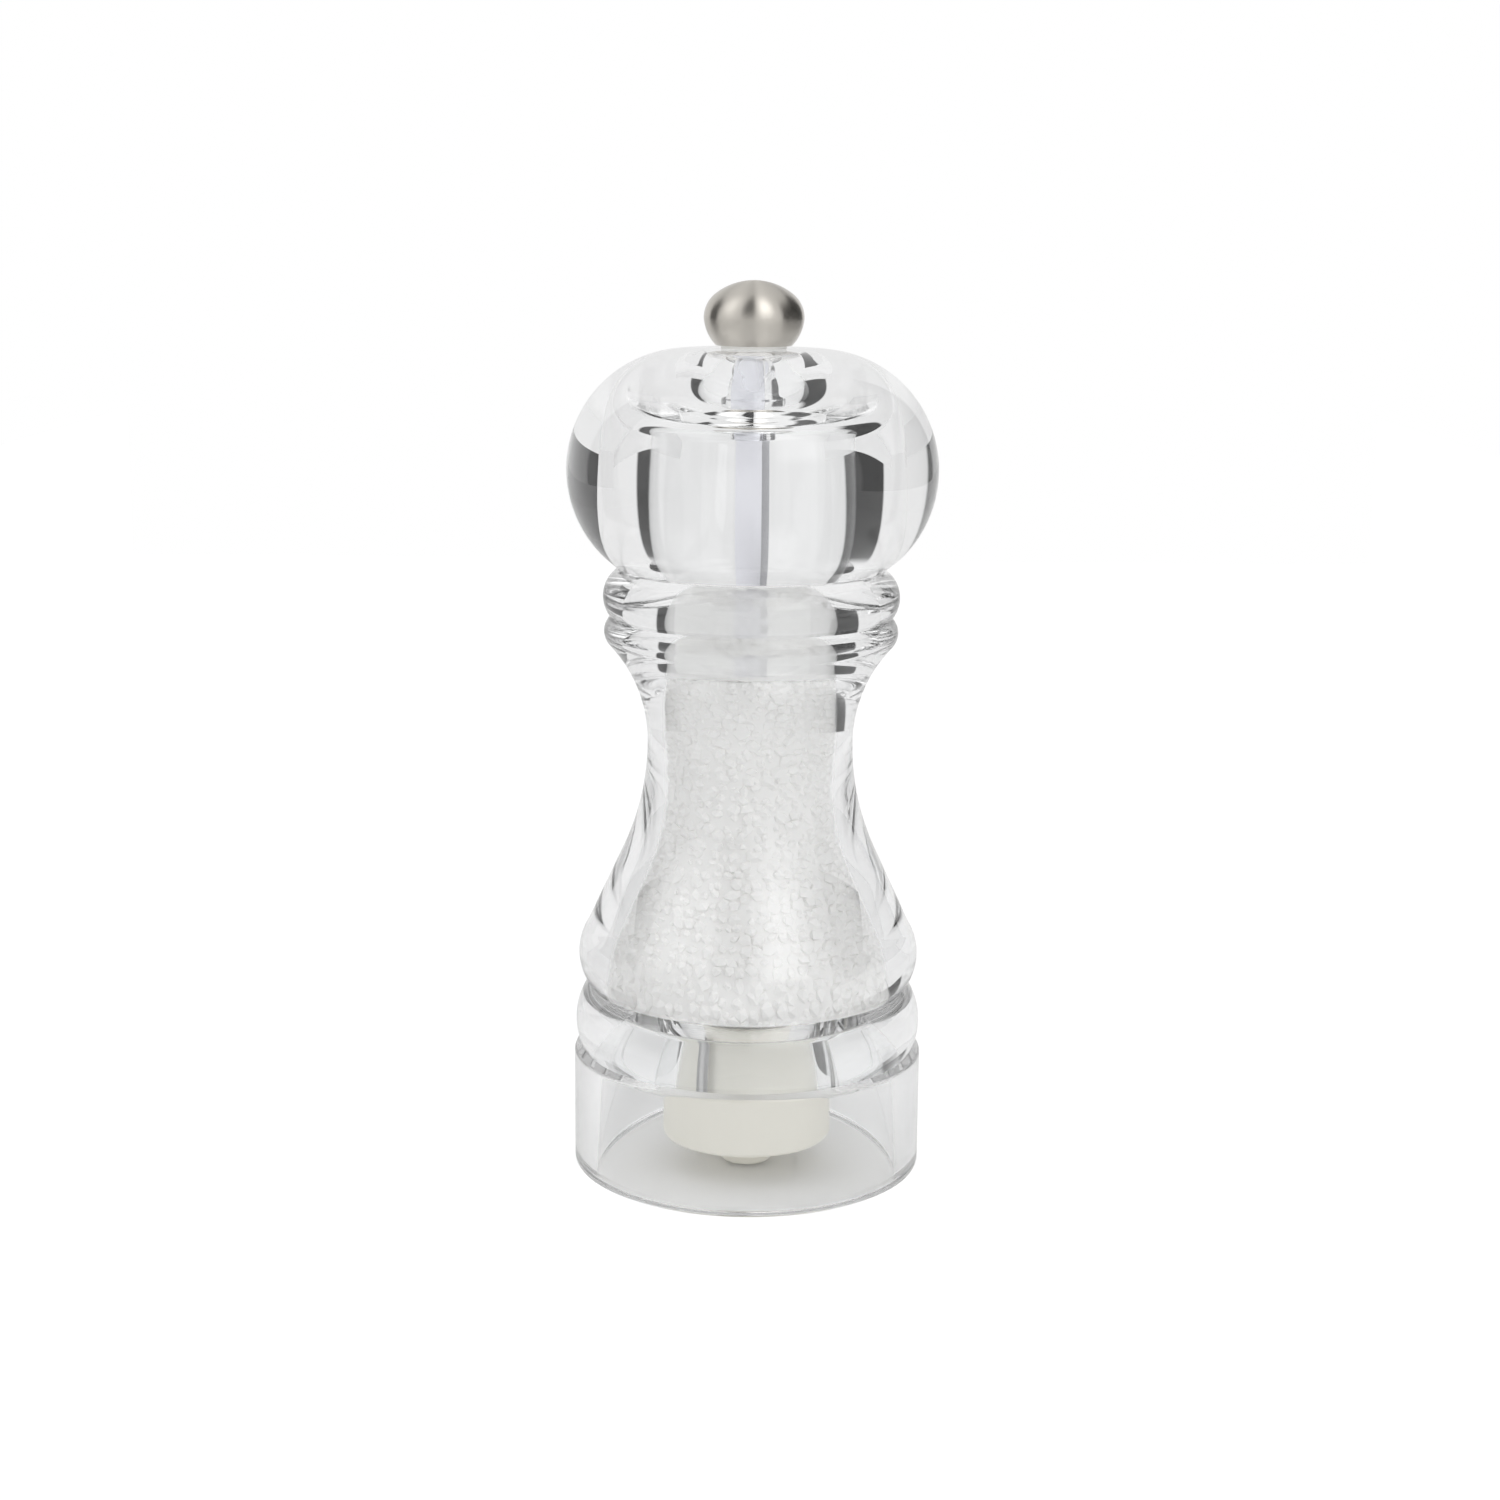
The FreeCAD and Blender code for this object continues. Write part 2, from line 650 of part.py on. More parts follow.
pieces = {
    "body": body(),
    "salt_fill": salt_fill(),
    "grinder_carrier": grinder_carrier(),
    "grinder_housing": grinder_housing(),
    "housing_screws": housing_screws(),
    "grinding_cup": grinding_cup(),
    "stator_ring": stator_ring(),
    "rotor_burr": rotor_burr(),
    "rotor_core": rotor_core(),
    "rotor_washer": tube(rotor_washer_radius, thread_radius + seat_gap, washer_bottom,
                         washer_bottom + rotor_washer_thickness),
    "rotor_nut": rotor_nut(),
    "drive_shaft": drive_shaft(),
    "grind_spring": grind_spring(),
    "spring_washer": spring_washer(),
    "shaft_bush": shaft_bush(),
    "bush_clip": bush_clip(),
    "head": head(),
    "drive_bush": drive_bush(),
    "knob": knob(),
    "knob_insert": tube(insert_radius, thread_radius + running_fit, knob_bottom, knob_bottom + insert_length),
    "knob_washer": tube(knob_washer_radius, thread_radius + turning_gap, crown_top + seat_gap,
                        crown_top + seat_gap + knob_washer_thickness),
}

os.makedirs("parts", exist_ok=True)
for name, shape in pieces.items():
    if not shape.isValid():
        raise ValueError("%s is not a valid solid" % name)
    print("%-16s solids %d  volume %.2f" % (name, len(shape.Solids), shape.Volume))
    shape.exportStep("parts/%s.step" % name)
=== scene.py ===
import math
import bpy
import numpy as np
from mathutils import Matrix


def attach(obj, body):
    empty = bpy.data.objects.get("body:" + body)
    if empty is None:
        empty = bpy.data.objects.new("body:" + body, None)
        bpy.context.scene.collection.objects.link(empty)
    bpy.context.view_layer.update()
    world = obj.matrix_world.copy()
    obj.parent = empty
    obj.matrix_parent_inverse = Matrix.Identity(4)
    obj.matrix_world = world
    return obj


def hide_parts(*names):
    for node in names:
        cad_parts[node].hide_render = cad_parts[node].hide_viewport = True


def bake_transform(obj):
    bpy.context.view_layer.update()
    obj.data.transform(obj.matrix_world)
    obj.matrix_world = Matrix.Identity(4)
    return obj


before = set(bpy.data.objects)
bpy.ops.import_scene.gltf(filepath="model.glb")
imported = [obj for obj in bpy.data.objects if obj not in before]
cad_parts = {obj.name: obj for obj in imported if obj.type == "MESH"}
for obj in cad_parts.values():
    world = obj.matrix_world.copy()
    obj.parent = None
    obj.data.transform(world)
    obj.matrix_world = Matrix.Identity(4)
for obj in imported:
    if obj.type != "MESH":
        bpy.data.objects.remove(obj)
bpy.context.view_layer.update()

scene = bpy.context.scene
rng = np.random.default_rng(41)
mm = 0.001
fullTurn = 2 * math.pi
tiny = 1e-6  # as good as nothing
print("frame loaded")


# outlines, as (radius, height) in millimetres
curveForm = {"step": 3.0, "cornerStep": 12.0, "fewest": 4}  # degrees a step, and fewest steps in an arc


def arcThrough(a, b, c, step):
    # circle through three points, walked from a past b to c in even steps
    (ax, ay), (bx, by), (cx, cy) = a, b, c
    d = 2 * (ax * (by - cy) + bx * (cy - ay) + cx * (ay - by))
    sa, sb, sc = ax * ax + ay * ay, bx * bx + by * by, cx * cx + cy * cy
    ux = (sa * (by - cy) + sb * (cy - ay) + sc * (ay - by)) / d
    uy = (sa * (cx - bx) + sb * (ax - cx) + sc * (bx - ax)) / d
    radius = math.hypot(ax - ux, ay - uy)
    turns = [math.atan2(y - uy, x - ux) for x, y in (a, b, c)]
    first = (turns[1] - turns[0] + math.pi) % fullTurn - math.pi
    second = (turns[2] - turns[1] + math.pi) % fullTurn - math.pi
    sweep = first + second
    count = max(curveForm["fewest"], math.ceil(abs(math.degrees(sweep)) / step))
    t = turns[0] + np.linspace(0, sweep, count + 1)
    return np.stack([ux + radius * np.cos(t), uy + radius * np.sin(t)], 1)


def roundedCorner(before, corner, after, radius):
    # arc that touches both lines: reach = radius / tan(half the angle between them)
    before, corner, after = (np.array(p[:2], float) for p in (before, corner, after))
    back, ahead = before - corner, after - corner
    back, ahead = back / np.linalg.norm(back), ahead / np.linalg.norm(ahead)
    half = math.acos(np.clip(back @ ahead, -1, 1)) / 2
    centre = corner + (back + ahead) / np.linalg.norm(back + ahead) * radius / math.sin(half)
    middle = centre + (corner - centre) / np.linalg.norm(corner - centre) * radius
    reach = radius / math.tan(half)
    return arcThrough(corner + back * reach, middle, corner + ahead * reach, curveForm["cornerStep"])


def outline(*corners):
    # a third value rounds the corner by that radius, or with "via" makes it the middle of an arc
    path, count = [], len(corners)
    for i, c in enumerate(corners):
        before, after = corners[i - 1], corners[(i + 1) % count]
        if len(c) > 2 and c[2] == "via":
            path.extend(arcThrough(before[:2], c[:2], after[:2], curveForm["step"])[1:-1])
        elif len(c) > 2:
            path.extend(roundedCorner(before, c, after, c[2]))
        else:
            path.append(np.array(c, float))
    return np.array(path)


def hollowArc(topR, topZ, startR, startZ, curve):
    # tangent from a slope's start to a circle whose centre is level with the vertical end
    cx, cz = topR + curve, topZ
    ax, az = startR - cx, startZ - cz
    bearing = math.atan2(az, ax) % fullTurn - math.acos(curve / math.hypot(ax, az))
    halfway = (bearing + math.pi) / 2
    return [(cx + curve * math.cos(t), cz + curve * math.sin(t)) for t in (bearing, halfway)]


def flareMiddle(lowR, lowZ, highR, highZ):
    # middle of the arc that leaves a vertical line: radius = (rise^2 + spread^2) / (2 spread)
    rise, spread = highZ - lowZ, highR - lowR
    curve = (rise ** 2 + spread ** 2) / (2 * spread)
    turn = math.asin(rise / curve) / 2
    return lowR + curve * (1 - math.cos(turn)), lowZ + curve * math.sin(turn)


# meshes

def putMesh(name, verts, faces, material, sharp=28):
    # smooth faces, with edges sharper than so many degrees left sharp
    mesh = bpy.data.meshes.new(name)
    mesh.from_pydata(verts, [], faces)
    mesh.polygons.foreach_set("use_smooth", np.ones(len(mesh.polygons), bool))
    mesh.materials.append(material)
    mesh.set_sharp_from_angle(angle=math.radians(sharp))
    mesh.update()
    piece = bpy.data.objects.new(name, mesh)
    scene.collection.objects.link(piece)
    return piece


def ringGrid(points, segments):
    # point j of the outline makes ring j: x = r cos t, y = r sin t; a point on the axis makes one pole
    t = np.arange(segments) * fullTurn / segments
    radius, height = points[:, :1], points[:, 1:]
    rings = [radius * np.cos(t), radius * np.sin(t), np.repeat(height, segments, 1)]
    verts = np.stack(rings, 2).reshape(-1, 3) * mm
    ring = np.arange(len(verts)).reshape(-1, segments)
    pole = points[:, 0] < tiny
    ring[pole] = ring[pole, :1]
    nextRing, nextPole = np.roll(ring, -1, 0), np.roll(pole, -1)
    loops = np.stack([ring, np.roll(ring, -1, 1), np.roll(nextRing, -1, 1), nextRing], 2)
    quads = loops[~pole & ~nextPole].reshape(-1, 4)
    fromPole = loops[pole & ~nextPole][..., [0, 2, 3]]
    toPole = loops[~pole & nextPole][..., [0, 1, 3]]
    fans = np.concatenate([fromPole, toPole]).reshape(-1, 3)
    after = np.roll(points, -1, 0)
    area = np.sum(points[:, 0] * after[:, 1] - after[:, 0] * points[:, 1])  # its sign gives the direction
    turn = 1 if area > 0 else -1
    used = np.unique(ring)
    faces = [np.searchsorted(used, part)[:, ::turn].tolist() for part in (quads, fans)]
    return verts[used], faces[0] + faces[1]


def turnedPiece(name, points, material, node, body, segments=256):
    # an outline turned about the mill's axis, shown instead of a solid
    piece = putMesh(name, *ringGrid(points, segments), material)
    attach(piece, body)
    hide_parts(node)


# materials

def newMaterial(name):
    # the material and its shader
    material = bpy.data.materials.new(name)
    material.use_nodes = True
    return material, material.node_tree.nodes["Principled BSDF"]


def plainMaterial(name, colour, roughness, **others):
    # other inputs go by name, with _ for a space
    material, shader = newMaterial(name)
    shader.inputs["Base Color"].default_value = (*colour, 1)
    shader.inputs["Roughness"].default_value = roughness
    for key, value in others.items():
        shader.inputs[key.replace("_", " ")].default_value = value
    return material


def turnedSteel():
    # the grain runs round the axis
    material = plainMaterial(
        "knobSteel", (0.62, 0.59, 0.54), 0.32, Metallic=1.0, Anisotropic=0.9, Anisotropic_Rotation=0.25)
    tree = material.node_tree
    grain = tree.nodes.new("ShaderNodeTangent")
    grain.direction_type = "RADIAL"
    grain.axis = "Z"
    tree.links.new(grain.outputs[0], tree.nodes["Principled BSDF"].inputs["Tangent"])
    return material


acrylic = plainMaterial("clearAcrylic", (0.985, 0.988, 0.99), 0.0, IOR=1.49, Transmission_Weight=1.0)
ivory = plainMaterial("ivoryPlastic", (0.90, 0.88, 0.80), 0.42)
ceramic = plainMaterial("grindingCeramic", (0.86, 0.85, 0.82), 0.6)
aluminium = plainMaterial("shaftAluminium", (0.91, 0.91, 0.96), 0.24, Metallic=1.0)
steel = turnedSteel()
brass = plainMaterial("insertBrass", (0.78, 0.62, 0.34), 0.35, Metallic=1.0)
bright = plainMaterial("smallSteel", (0.66, 0.66, 0.66), 0.3, Metallic=1.0)
nylon = plainMaterial("whiteNylon", (0.9, 0.9, 0.88), 0.5)
salt = plainMaterial("coarseSalt", (0.90, 0.895, 0.885), 0.6)
print("materials made")


# body, one clear moulding; heights end in Z or Top, and the taper is in degrees
bodyForm = {
    "bore": 25.3, "edge": 0.5, "foot": 29.8, "footTop": 20.9, "footEdge": 0.8,
    "lowerGroove": 28.5, "lowerBead": 29.5, "lowerBeadZ": 24.785, "upperGroove": 27.2, "upperGrooveZ": 32.0,
    "bulge": 28.97, "bulgeZ": 37.757, "bulgeEnd": 27.5, "bulgeTop": 42.1,
    "waist": 17.33, "waistZ": 73.8, "waistCurve": 44.0, "flare": 23.8, "flareTop": 90.5,
    "collarBead": 24.65, "collarBeadZ": 92.75, "collarGroove": 23.5, "collarGrooveZ": 95.0,
    "rimBead": 24.82, "rimBeadZ": 98.76, "rimEdge": 22.3, "rimTop": 103.0,
    "neck": 14.4, "spigot": 16.9, "spigotTop": 105.2,
    "chamber": 23.5, "chamberZ": 31.0, "straight": 4.0, "taper": 24.0, "lowerCurve": 10.0,
    "upperCurve": 45.0,
}


def chamberWall(gap):
    # cone between two arcs that touch the straight parts, moved inwards by the gap
    f = bodyForm
    low, high = f["chamber"] - gap, f["neck"] - gap
    below, above = f["lowerCurve"] - gap, f["upperCurve"] + gap
    taper = math.radians(f["taper"])
    fall = 1 - math.cos(taper)
    slope = (low - high - below * fall - above * fall) / math.tan(taper)
    z0 = f["chamberZ"] + f["straight"]
    z1 = z0 + below * math.sin(taper)
    z2 = z1 + slope
    z3 = z2 + above * math.sin(taper)
    half = taper / 2
    return [
        (low, z0),
        (low - below * (1 - math.cos(half)), z0 + below * math.sin(half), "via"),
        (low - below * fall, z1),
        (high + above * fall, z2),
        (high + above * (1 - math.cos(half)), z3 - above * math.sin(half), "via"),
        (high, z3),
    ]


def bodyOutline():
    # up the outside from the foot to the spigot, then down the chamber
    f = bodyForm
    waistStart, waistMiddle = hollowArc(
        f["waist"], f["waistZ"], f["bulgeEnd"], f["bulgeTop"], f["waistCurve"])
    flare = flareMiddle(f["waist"], f["waistZ"], f["flare"], f["flareTop"])
    return outline(
        (f["bore"], 0, f["edge"]),
        (f["foot"], 0, f["footEdge"]),
        (f["foot"], f["footTop"] - f["footEdge"], f["footEdge"]),
        (f["lowerGroove"], f["footTop"]),
        (f["lowerBead"], f["lowerBeadZ"], "via"),
        (f["upperGroove"], f["upperGrooveZ"]),
        (f["bulge"], f["bulgeZ"], "via"),
        (f["bulgeEnd"], f["bulgeTop"]),
        waistStart,
        (*waistMiddle, "via"),
        (f["waist"], f["waistZ"]),
        (*flare, "via"),
        (f["flare"], f["flareTop"]),
        (f["collarBead"], f["collarBeadZ"], "via"),
        (f["collarGroove"], f["collarGrooveZ"]),
        (f["rimBead"], f["rimBeadZ"], "via"),
        (f["rimEdge"], f["rimTop"]),
        (f["spigot"], f["rimTop"]),
        (f["spigot"], f["spigotTop"], f["edge"]),
        (f["neck"], f["spigotTop"], f["edge"]),
        *chamberWall(0)[::-1],
        (f["chamber"], f["chamberZ"]),
        (f["bore"], f["chamberZ"]),
    )


turnedPiece("clearBody", bodyOutline(), acrylic, "body", "mill_body")

# head, clear bun with a flat-topped cavity and a bell-mouthed recess for the drive bush
headForm = {
    "flat": 11.0, "round": 19.8, "bottom": 103.3, "middle": 119.5, "edge": 0.5,
    "cavity": 17.2, "ceiling": 126.0, "corner": 2.0, "recess": 8.5, "recessTop": 133.5, "mouth": 4.0,
    "hole": 3.482, "socket": 3.767, "socketTop": 137.05,
}


def headOutline():
    # half circle set off from the axis by the flat, cut below: lower = flat + sqrt(round^2 - drop^2)
    f = headForm
    drop = f["middle"] - f["bottom"]
    lower = f["flat"] + math.sqrt(f["round"] ** 2 - drop ** 2)
    top = f["middle"] + f["round"]
    return outline(
        (f["cavity"], f["bottom"], f["edge"]),
        (lower, f["bottom"]),
        (f["flat"] + f["round"], f["middle"], "via"),
        (f["flat"], top),
        (f["hole"], top),
        (f["hole"], f["socketTop"]),
        (f["socket"], f["socketTop"]),
        (f["socket"], f["recessTop"]),
        (f["recess"], f["recessTop"], f["edge"]),
        (f["recess"], f["ceiling"], f["mouth"]),
        (f["cavity"], f["ceiling"], f["corner"]),
    )


turnedPiece("clearHead", headOutline(), acrylic, "head", "turning_head")

# carrier, clear disc over the foot's hollow
carrierForm = {
    "bore": 11.75, "hub": 15.2, "outer": 25.25, "rim": 2.7, "edge": 0.5,
    "bottom": 18.95, "floor": 2.6, "dish": 29.95, "top": 30.95,
}


def carrierOutline():
    # hub and rim below a floor, whose top falls from the chamber's wall to the bore
    f = carrierForm
    under = f["dish"] - f["floor"]
    rim = f["outer"] - f["rim"]
    return outline(
        (f["bore"], f["bottom"]),
        (f["hub"], f["bottom"]),
        (f["hub"], under, f["edge"]),
        (rim, under, f["edge"]),
        (rim, f["bottom"]),
        (f["outer"], f["bottom"]),
        (f["outer"], f["top"]),
        (bodyForm["chamber"], f["top"]),
        (f["bore"], f["dish"]),
    )


turnedPiece(
    "clearCarrier", carrierOutline(), acrylic, "grinder_carrier", "mill_body", segments=192)
print("clear pieces made")

# cup of the grinder, ivory
cupForm = {
    "lip": 10.3, "lipEdge": 0.5, "radius": 14.5, "edge": 0.9, "wall": 12.75,
    "bottom": 5.3, "floor": 7.3, "top": 16.45,
}


def cupOutline():
    # straight wall on a ring-shaped floor
    f = cupForm
    return outline(
        (f["lip"], f["bottom"], f["lipEdge"]),
        (f["radius"], f["bottom"], f["edge"]),
        (f["radius"], f["top"]),
        (f["wall"], f["top"]),
        (f["wall"], f["floor"]),
        (f["lip"], f["floor"]),
    )


turnedPiece("ivoryCup", cupOutline(), ivory, "grinding_cup", "mill_body", segments=128)

# nut below the rotor, ivory
nutForm = {"radius": 4.4, "edge": 0.5, "bottom": 0.65, "top": 4.2, "bore": 2.05, "boreBottom": 1.55}


def nutOutline():
    # closed below, with a blind bore from above
    f = nutForm
    return outline(
        (0, f["bottom"]),
        (f["radius"], f["bottom"], f["edge"]),
        (f["radius"], f["top"]),
        (f["bore"], f["top"]),
        (f["bore"], f["boreBottom"]),
        (0, f["boreBottom"]),
    )


turnedPiece("ivoryNut", nutOutline(), ivory, "rotor_nut", "shaft_and_rotor", segments=96)

# knob, turned steel
knobForm = {
    "bottom": 139.9, "foot": 6.3, "radius": 8.26, "belly": 4.4, "bow": 0.45, "dome": 6.1, "shoulder": 5.0,
    "bore": 3.45, "boreTop": 147.8,
}


def knobOutline():
    # bowed cone, then a shoulder's arc and a flatter dome, which touch on the line through both centres
    f = knobForm
    belly = f["bottom"] + f["belly"]
    top = belly + f["dome"]
    spare = f["radius"] - f["shoulder"]
    dome = (spare ** 2 + f["dome"] ** 2 - f["shoulder"] ** 2) / (2 * (f["dome"] - f["shoulder"]))
    centre = top - dome
    lean = math.atan2(spare, belly - centre)
    half = (math.pi / 2 - lean) / 2
    return outline(
        (f["bore"], f["bottom"]),
        (f["foot"], f["bottom"]),
        ((f["foot"] + f["radius"]) / 2 + f["bow"], f["bottom"] + f["belly"] / 2, "via"),
        (f["radius"], belly),
        (spare + f["shoulder"] * math.cos(half), belly + f["shoulder"] * math.sin(half), "via"),
        (dome * math.sin(lean), centre + dome * math.cos(lean)),
        (dome * math.sin(lean / 2), centre + dome * math.cos(lean / 2), "via"),
        (0, top),
        (0, f["boreTop"]),
        (f["bore"], f["boreTop"]),
    )


turnedPiece("steelKnob", knobOutline(), steel, "knob", "adjusting_knob", segments=192)
print("knob and cup made")

# salt, loose crystals against the wall and over the top, round a plain core
saltForm = {
    "floor": 31.3, "top": 88.9, "inner": 3.7, "gap": 0.25,  # the filling's space, off the shaft and the wall
    "core": 0.66, "rimDrop": 0.45, "crownRise": 0.25,  # the core, under the crystals
    "pitch": 1.9, "rowStep": 0.86, "ringStep": 0.9,  # between crystals, and the rows as shares of it
    "depth": 0.9, "margin": 1.0, "rimGap": 1.2, "heapDrop": 0.3, "heapRise": 0.9,  # where the rows lie
    "start": 6.0, "shift": 0.3, "lift": 0.5, "heapLift": (-0.5, 0.3),  # random moves
    "size": (0.75, 1.35), "stretch": (0.75, 1.25), "dent": 0.18,  # random shapes
    "wallGap": 0.2, "highest": 1.4,  # limits, off the wall and over the top
}


def crystalShape():
    # icosahedron: (0, 1, golden ratio) with all signs and turns; three points an edge apart make a face
    golden = (1 + 5 ** 0.5) / 2
    edge = 1 / math.sin(fullTurn / 5)
    points = np.array([(0, s, t * golden) for s in (-1, 1) for t in (-1, 1)])
    points = np.concatenate([points, points[:, [2, 0, 1]], points[:, [1, 2, 0]]])
    points /= np.linalg.norm(points[0])
    near = np.isclose(np.linalg.norm(points[:, None] - points, axis=2), edge)
    triples = np.argwhere(near[:, :, None] & near[:, None] & near)
    a, b, c = points[triples].transpose(1, 0, 2)
    outward = np.sum(np.cross(b - a, c - a) * a, 1) > 0
    first = triples[:, 0] == triples.min(1)
    return points, triples[outward & first]


def turnMatrices(count):
    # random rotations from unit quaternions
    q = rng.normal(size=(count, 4))
    q /= np.linalg.norm(q, axis=1)[:, None]
    w, x, y, z = q.T
    return np.stack([
        1 - 2 * (y * y + z * z), 2 * (x * y - z * w), 2 * (x * z + y * w),
        2 * (x * y + z * w), 1 - 2 * (x * x + z * z), 2 * (y * z - x * w),
        2 * (x * z - y * w), 2 * (y * z + x * w), 1 - 2 * (x * x + y * y)], 1).reshape(-1, 3, 3)


def wallRadius(z, gap):
    # the chamber's radius at a height, from its outline
    path = outline(*chamberWall(gap))
    path = path[np.argsort(path[:, 1])]
    return np.interp(z, path[:, 1], path[:, 0])


def ringTurns(r):
    # turns a pitch apart round a ring of this radius, from a random start
    count = int(fullTurn * r / saltForm["pitch"])
    return np.arange(count) * fullTurn / count + rng.uniform(0, saltForm["start"])


def saltPlaces():
    # rows up the wall, each place moved by up to a share of the pitch; then rings over the top,
    # whose heap falls with the square of the radius
    f, places = saltForm, []
    for z in np.arange(f["floor"] + f["margin"], f["top"], f["pitch"] * f["rowStep"]):
        r = wallRadius(z, f["gap"]) - f["depth"]
        t = ringTurns(r)
        t = t + rng.uniform(-f["shift"], f["shift"], len(t)) * f["pitch"] / r
        height = z + rng.uniform(-f["lift"], f["lift"], len(t))
        places.append(np.stack([r * np.cos(t), r * np.sin(t), height], 1))
    neck = wallRadius(f["top"], f["gap"])
    for r in np.arange(f["inner"] + f["margin"], neck - f["rimGap"], f["pitch"] * f["ringStep"]):
        t = ringTurns(r)
        heap = f["top"] - f["heapDrop"] + f["heapRise"] * (1 - (r / neck) ** 2)
        height = heap + rng.uniform(*f["heapLift"], len(t))
        places.append(np.stack([r * np.cos(t), r * np.sin(t), height], 1))
    return np.concatenate(places)


def makeCrystals():
    # dented, stretched and turned icosahedra, drawn in where they pass the wall, the floor or the top
    f = saltForm
    base, baseFaces = crystalShape()
    places = saltPlaces()
    count, corners = len(places), len(base)
    sizes = rng.uniform(*f["size"], (count, 1)) * rng.uniform(*f["stretch"], (count, 3))
    shaped = base[None] * (1 + rng.uniform(-f["dent"], f["dent"], (count, corners, 1)))
    shaped = np.einsum("nij,nkj->nki", turnMatrices(count), shaped * sizes[:, None])
    verts = shaped + places[:, None]
    spread = np.hypot(verts[..., 0], verts[..., 1])
    most = wallRadius(np.maximum(verts[..., 2], f["floor"]), f["wallGap"])
    verts[..., :2] *= np.minimum(1, most / np.maximum(spread, tiny))[..., None]
    verts[..., 2] = np.clip(verts[..., 2], f["floor"], f["top"] + f["highest"])
    faces = (np.arange(count)[:, None, None] * corners + baseFaces[None]).reshape(-1, 3)
    crystals = putMesh("saltCrystals", verts.reshape(-1, 3) * mm, faces.tolist(), salt, sharp=20)
    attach(crystals, "mill_body")
    print("salt crystals", count)


def coreOutline():
    # the chamber's wall moved inwards, with a low cone on top
    f = saltForm
    wall = chamberWall(f["gap"] + f["core"])
    return outline(
        (f["inner"], f["floor"]),
        (wall[0][0], f["floor"]),
        *wall,
        (wall[-1][0], f["top"] - f["rimDrop"]),
        (f["inner"], f["top"] + f["crownRise"]),
    )


makeCrystals()
turnedPiece("saltCore", coreOutline(), salt, "salt_fill", "mill_body", segments=128)

# salt dust on the neck's wall above the filling, a thin see-through film
dustForm = {"gap": 0.15, "film": 0.08, "low": 88.6, "high": 104.6, "cover": 0.28}


def makeDust():
    # tube between two radii, closed at both ends
    f = dustForm
    outer = bodyForm["neck"] - f["gap"]
    inner = outer - f["film"]
    tube = outline((inner, f["low"]), (outer, f["low"]), (outer, f["high"]), (inner, f["high"]))
    dust = plainMaterial("saltDust", (0.93, 0.93, 0.92), 1.0, Alpha=f["cover"])
    film = putMesh("saltDust", *ringGrid(tube, segments=128), dust)
    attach(film, "mill_body")


makeDust()
print("salt made")

# spring, one wire between the rotor and the bush
springForm = {
    "radius": 4.182, "wire": 0.4, "bottom": 21.4, "top": 25.5, "turns": 3.0,
    "steps": 96, "sides": 10,
}


def springMesh():
    # tube round a helix: centre + wire (cos a outward + sin a upward), square to the wire's own direction
    f = springForm
    steps, sides = f["steps"], f["sides"]
    t = np.linspace(0, fullTurn * f["turns"], steps + 1)
    x, y = f["radius"] * np.cos(t), f["radius"] * np.sin(t)
    centre = np.stack([x, y, np.linspace(f["bottom"], f["top"], steps + 1)], 1)
    climb = (f["top"] - f["bottom"]) / (fullTurn * f["turns"])
    along = np.stack([-y, x, np.full(steps + 1, climb)], 1)
    along /= np.linalg.norm(along, axis=1)[:, None]
    outward = np.stack([np.cos(t), np.sin(t), 0 * t], 1)
    upward = np.cross(along, outward)
    a = (np.arange(sides) * fullTurn / sides)[None, :, None]
    verts = centre[:, None] + f["wire"] * (np.cos(a) * outward[:, None] + np.sin(a) * upward[:, None])
    ring = np.arange(steps * sides).reshape(steps, sides)
    beside = np.roll(ring, -1, 1)
    quads = np.stack([ring, beside, beside + sides, ring + sides], 2).reshape(-1, 4)
    caps = [np.arange(sides)[::-1].tolist(), (steps * sides + np.arange(sides)).tolist()]
    return verts.reshape(-1, 3) * mm, quads.tolist() + caps


spring = putMesh("grindSpring", *springMesh(), bright, sharp=40)
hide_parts("grind_spring")
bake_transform(spring)

# the other pieces keep their solids and take new finishes
finishes = {
    "grinder_housing": ivory, "rotor_core": ivory, "shaft_bush": ivory,
    "stator_ring": ceramic, "rotor_burr": ceramic,
    "drive_bush": acrylic, "drive_shaft": aluminium, "knob_insert": brass, "knob_washer": nylon,
    "spring_washer": bright, "rotor_washer": bright, "bush_clip": bright, "housing_screws": bright,
}
for node, material in finishes.items():
    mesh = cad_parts[node].data
    mesh.materials.clear()
    mesh.materials.append(material)
print("inner pieces finished")


# floor and surroundings

def mathNode(tree, operation, *values):
    # a value is a socket to link or a number to set
    node = tree.nodes.new("ShaderNodeMath")
    node.operation = operation
    for k, value in enumerate(values):
        if isinstance(value, bpy.types.NodeSocket):
            tree.links.new(value, node.inputs[k])
        else:
            node.inputs[k].default_value = value
    return node.outputs[0]


def clamped(tree, value, most):
    # kept between zero and the most
    return mathNode(tree, "MINIMUM", mathNode(tree, "MAXIMUM", value, 0.0), most)


# white floor with low sides, which hide the dark panels from the body but not from the head
floorForm = {
    "half": 0.3, "side": 0.07, "front": -0.6, "back": 0.8, "shade": 0.92,
    "white": 1.12, "glow": 0.85, "through": 0.34, "near": 0.04, "fade": 0.08,  # the glow
}


